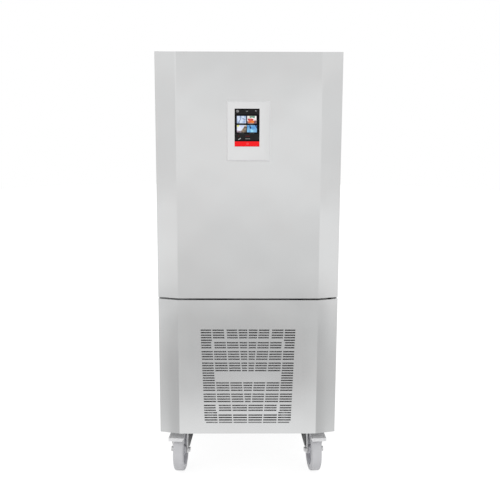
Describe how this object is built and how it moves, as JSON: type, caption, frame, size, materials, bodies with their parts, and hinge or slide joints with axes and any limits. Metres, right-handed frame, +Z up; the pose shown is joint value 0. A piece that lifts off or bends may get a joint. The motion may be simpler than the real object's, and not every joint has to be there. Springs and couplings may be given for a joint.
{
  "type": "blast chiller",
  "caption": "Upright stainless blast chiller with one full-width hinged door, a touch display, a slotted machine panel and braked swivel casters.",
  "frame": {"origin": "on the floor, under the middle of the outer box", "axes": "+Z up, front and door face -Y, +X to the right seen from the front"},
  "size_m": [0.8, 0.87, 1.95],
  "materials": {
    "stainless": "satin",
    "galvanised": "satin",
    "zinc": "satin",
    "foam": "matte",
    "seal_rubber": "matte",
    "grip_metal": "satin",
    "bush_plastic": "matte",
    "bezel_plastic": "satin",
    "screen_glass": "gloss",
    "board_case": "matte",
    "black_plastic": "matte",
    "white_plastic": "satin",
    "fin_aluminium": "satin",
    "black_steel": "satin",
    "motor_grey": "satin",
    "guard_wire": "satin",
    "copper": "satin",
    "mount_rubber": "matte",
    "box_grey": "satin",
    "wheel_tread": "matte",
    "wheel_core": "satin"
  },
  "bodies": {
    "cabinet": {"side_panel_left": "stainless", "side_panel_right": "stainless", "top_panel": "stainless", "back_panel": "galvanised", "base_chassis": "galvanised", "cabinet_foam": "foam", "chamber_liner": "stainless", "front_frame": "stainless", "lower_front_panel": "stainless", "rear_vent_cover": "galvanised", "panel_screws": "zinc", "condenser_coil": "fin_aluminium", "condenser_shroud": "galvanised", "condenser_fan_motor": "motor_grey", "compressor": "black_steel", "compressor_feet": "mount_rubber", "liquid_receiver": "black_steel", "filter_drier": "copper", "refrigerant_pipes": "copper", "control_box": "box_grey", "condensate_tray": "white_plastic", "drain_pipe": "white_plastic", "power_gland": "black_plastic", "evaporator_coil": "fin_aluminium", "fan_panel": "stainless", "evaporator_fan_motors": "motor_grey", "fan_guards": "guard_wire", "tray_rack_left": "stainless", "tray_rack_right": "stainless", "probe_gland": "black_plastic", "hinge_bracket_upper": "galvanised", "hinge_bracket_lower": "galvanised", "caster_plates": "zinc", "caster_bolts": "zinc"},
    "door": {"door_skin": "stainless", "door_foam": "foam", "door_liner": "white_plastic", "door_gasket": "seal_rubber", "door_grip": "grip_metal", "hinge_bushes": "bush_plastic", "display_bezel": "bezel_plastic", "display_glass": "screen_glass", "display_module": "board_case"},
    "condenser_rotor": {"condenser_fan": "black_plastic"},
    "lower_fan_rotor": {"evaporator_fan_lower": "black_plastic"},
    "upper_fan_rotor": {"evaporator_fan_upper": "black_plastic"},
    "swivel_front_left": {"fork_front_left": "zinc"},
    "wheel_front_left": {"tread_front_left": "wheel_tread", "core_front_left": "wheel_core"},
    "swivel_front_right": {"fork_front_right": "zinc"},
    "wheel_front_right": {"tread_front_right": "wheel_tread", "core_front_right": "wheel_core"},
    "swivel_rear_left": {"fork_rear_left": "zinc"},
    "wheel_rear_left": {"tread_rear_left": "wheel_tread", "core_rear_left": "wheel_core"},
    "swivel_rear_right": {"fork_rear_right": "zinc"},
    "wheel_rear_right": {"tread_rear_right": "wheel_tread", "core_rear_right": "wheel_core"},
    "brake_left": {"pedal_left": "zinc"},
    "brake_right": {"pedal_right": "zinc"}
  },
  "joints": [
    {"name": "door_hinge", "type": "hinge", "parent": "cabinet", "child": "door", "pos_m": [0.38, -0.374, 1.4], "axis": [0, 0, 1], "range_deg": [0, 105]},
    {"name": "condenser_fan_spin", "type": "hinge", "parent": "cabinet", "child": "condenser_rotor", "pos_m": [0, -0.245, 0.508], "axis": [0, 1, 0], "continuous": true},
    {"name": "lower_fan_spin", "type": "hinge", "parent": "cabinet", "child": "lower_fan_rotor", "pos_m": [0, 0.1835, 1.1971], "axis": [0, 1, 0], "continuous": true},
    {"name": "upper_fan_spin", "type": "hinge", "parent": "cabinet", "child": "upper_fan_rotor", "pos_m": [0, 0.1835, 1.6074], "axis": [0, 1, 0], "continuous": true},
    {"name": "swivel_front_left", "type": "hinge", "parent": "cabinet", "child": "swivel_front_left", "pos_m": [-0.309, -0.24, 0.21], "axis": [0, 0, 1], "continuous": true},
    {"name": "roll_front_left", "type": "hinge", "parent": "swivel_front_left", "child": "wheel_front_left", "pos_m": [-0.31379, -0.28977, 0.1], "axis": [0.9954, -0.0958, 0], "continuous": true},
    {"name": "swivel_front_right", "type": "hinge", "parent": "cabinet", "child": "swivel_front_right", "pos_m": [0.309, -0.24, 0.21], "axis": [0, 0, 1], "continuous": true},
    {"name": "roll_front_right", "type": "hinge", "parent": "swivel_front_right", "child": "wheel_front_right", "pos_m": [0.31379, -0.28977, 0.1], "axis": [0.9954, 0.0958, 0], "continuous": true},
    {"name": "swivel_rear_left", "type": "hinge", "parent": "cabinet", "child": "swivel_rear_left", "pos_m": [-0.309, 0.285, 0.21], "axis": [0, 0, 1], "continuous": true},
    {"name": "roll_rear_left", "type": "hinge", "parent": "swivel_rear_left", "child": "wheel_rear_left", "pos_m": [-0.31379, 0.23523, 0.1], "axis": [0.9954, -0.0958, 0], "continuous": true},
    {"name": "swivel_rear_right", "type": "hinge", "parent": "cabinet", "child": "swivel_rear_right", "pos_m": [0.309, 0.285, 0.21], "axis": [0, 0, 1], "continuous": true},
    {"name": "roll_rear_right", "type": "hinge", "parent": "swivel_rear_right", "child": "wheel_rear_right", "pos_m": [0.31379, 0.23523, 0.1], "axis": [0.9954, 0.0958, 0], "continuous": true},
    {"name": "brake_left", "type": "hinge", "parent": "swivel_front_left", "child": "brake_left", "pos_m": [-0.31533, -0.3057, 0.208], "axis": [0.9954, -0.0958, 0], "range_deg": [0, 8]},
    {"name": "brake_right", "type": "hinge", "parent": "swivel_front_right", "child": "brake_right", "pos_m": [0.31533, -0.3057, 0.208], "axis": [0.9954, 0.0958, 0], "range_deg": [0, 8]}
  ]
}
